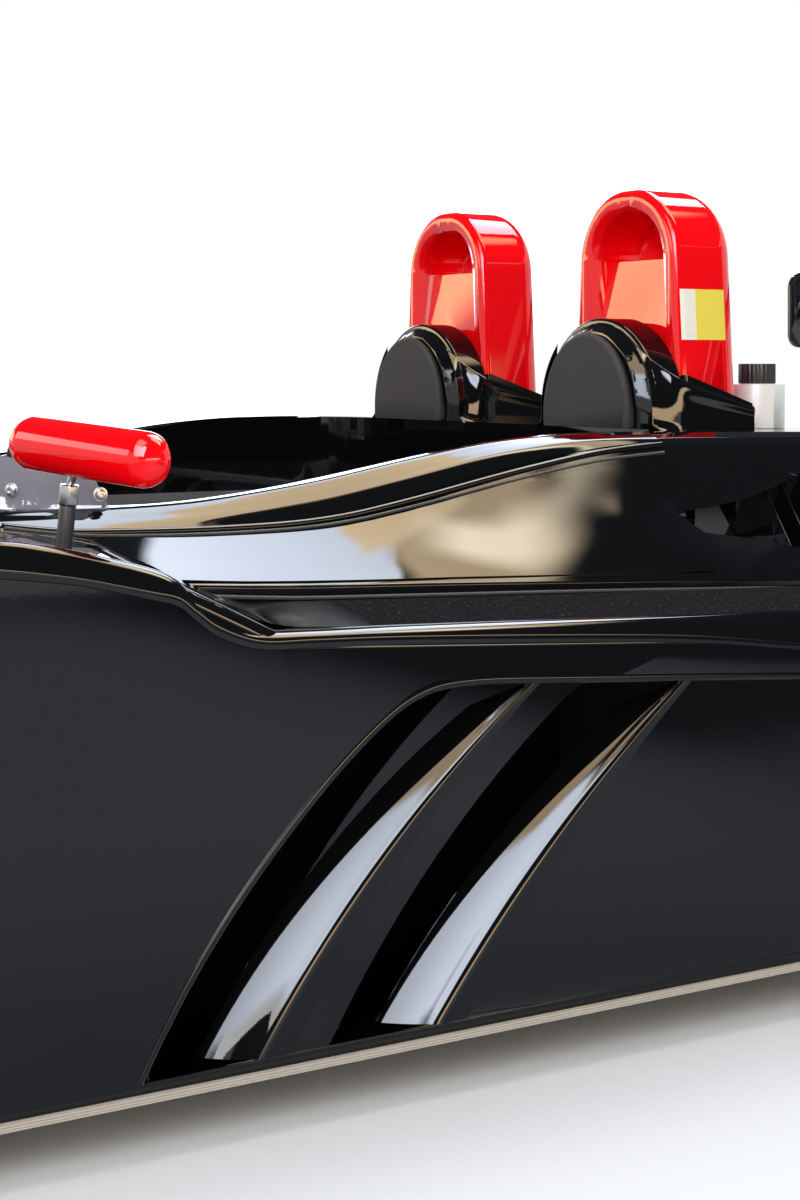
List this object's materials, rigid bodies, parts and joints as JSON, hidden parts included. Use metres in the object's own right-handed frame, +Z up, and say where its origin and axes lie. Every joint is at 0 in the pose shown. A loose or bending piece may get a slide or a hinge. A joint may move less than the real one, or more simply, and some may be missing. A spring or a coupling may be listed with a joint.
{
  "type": "two-seat open sports racing car",
  "caption": "Closed-wheel open-cockpit sports racing car with ramped flank vents, pocketed roll hoop covers, rear wing, rolling wheels and working steering.",
  "frame": {"origin": "on the ground, midway between nose and tail on the car's centre plane", "axes": "+X forward to the nose, +Y to the car's left, +Z up"},
  "size_m": [4, 1.7158, 1.0669],
  "materials": {
    "black_gelcoat": "gloss",
    "red_gelcoat": "gloss",
    "birch_plywood": "sanded",
    "tub_aluminium": "mill",
    "suspension_steel": "satin black",
    "pad_vinyl": "matte",
    "seat_shell": "satin",
    "smoked_screen": "polished",
    "bottle_plastic": "satin",
    "steering_rubber": "matte",
    "engine_cast": "as cast",
    "carbon_panel": "satin",
    "exhaust_steel": "heat tinted",
    "lamp_lens": "clear",
    "tail_lens": "clear",
    "tow_red": "gloss",
    "tyre_rubber": "matte",
    "wheel_alloy": "satin"
  },
  "bodies": {
    "root": {"floor_board": "birch_plywood", "tub": "tub_aluminium", "front_clam": "black_gelcoat", "rear_clam": "black_gelcoat", "side_panel_left": "black_gelcoat", "side_panel_right": "black_gelcoat", "surround": "black_gelcoat", "hoop_cover_left": "red_gelcoat", "hoop_cover_right": "red_gelcoat", "hood_left": "black_gelcoat", "hood_right": "black_gelcoat", "pad_left": "pad_vinyl", "pad_right": "pad_vinyl", "seat_left": "seat_shell", "seat_right": "seat_shell", "mirror_left": "red_gelcoat", "mirror_right": "red_gelcoat", "windscreen": "smoked_screen", "bottle": "bottle_plastic", "front_wishbones_left": "suspension_steel", "front_wishbones_right": "suspension_steel", "rear_suspension_left": "suspension_steel", "rear_suspension_right": "suspension_steel", "column_tube": "suspension_steel", "rack_housing": "tub_aluminium", "engine": "engine_cast", "gearbox": "engine_cast", "diffuser": "carbon_panel", "exhaust": "exhaust_steel", "rear_wing": "carbon_panel", "wing_pylons": "tub_aluminium", "headlamps": "lamp_lens", "tail_lamps": "tail_lens", "tow_eye": "tow_red"},
    "knuckle_left": {"knuckle_left": "suspension_steel"},
    "knuckle_right": {"knuckle_right": "suspension_steel"},
    "wheel_front_left": {"tyre_front_left": "tyre_rubber", "rim_front_left": "wheel_alloy"},
    "wheel_front_right": {"tyre_front_right": "tyre_rubber", "rim_front_right": "wheel_alloy"},
    "wheel_rear_left": {"tyre_rear_left": "tyre_rubber", "rim_rear_left": "wheel_alloy", "driveshaft_left": "suspension_steel"},
    "wheel_rear_right": {"tyre_rear_right": "tyre_rubber", "rim_rear_right": "wheel_alloy", "driveshaft_right": "suspension_steel"},
    "steering": {"steering_wheel": "steering_rubber"},
    "rack": {"rack_bar": "suspension_steel"}
  },
  "joints": [
    {"name": "steer_left", "type": "hinge", "parent": "root", "child": "knuckle_left", "pos_m": [1.25, 0.622, 0.275], "axis": [0, 0, 1], "range_deg": [-18, 18]},
    {"name": "steer_right", "type": "hinge", "parent": "root", "child": "knuckle_right", "pos_m": [1.25, -0.622, 0.275], "axis": [0, 0, 1], "range_deg": [-18, 18]},
    {"name": "spin_front_left", "type": "hinge", "parent": "knuckle_left", "child": "wheel_front_left", "pos_m": [1.25, 0.712, 0.275], "axis": [0, 1, 0], "continuous": true},
    {"name": "spin_front_right", "type": "hinge", "parent": "knuckle_right", "child": "wheel_front_right", "pos_m": [1.25, -0.712, 0.275], "axis": [0, 1, 0], "continuous": true},
    {"name": "spin_rear_left", "type": "hinge", "parent": "root", "child": "wheel_rear_left", "pos_m": [-1.2, 0.702, 0.288], "axis": [0, 1, 0], "continuous": true},
    {"name": "spin_rear_right", "type": "hinge", "parent": "root", "child": "wheel_rear_right", "pos_m": [-1.2, -0.702, 0.288], "axis": [0, 1, 0], "continuous": true},
    {"name": "rack_slide", "type": "slide", "parent": "root", "child": "rack", "axis": [0, 1, 0], "range_m": [-0.046, 0.046]},
    {"name": "column_turn", "type": "hinge", "parent": "root", "child": "steering", "pos_m": [0.33, -0.2565, 0.56], "axis": [-0.9563, 0, 0.2924], "range_deg": [-100, 100]}
  ],
  "couplings": [
    {"joint": "steer_right", "follows": "steer_left", "ratio": 1},
    {"joint": "rack_slide", "follows": "steer_left", "m_per_rad": 0.145},
    {"joint": "column_turn", "follows": "steer_left", "ratio": 5.5}
  ]
}
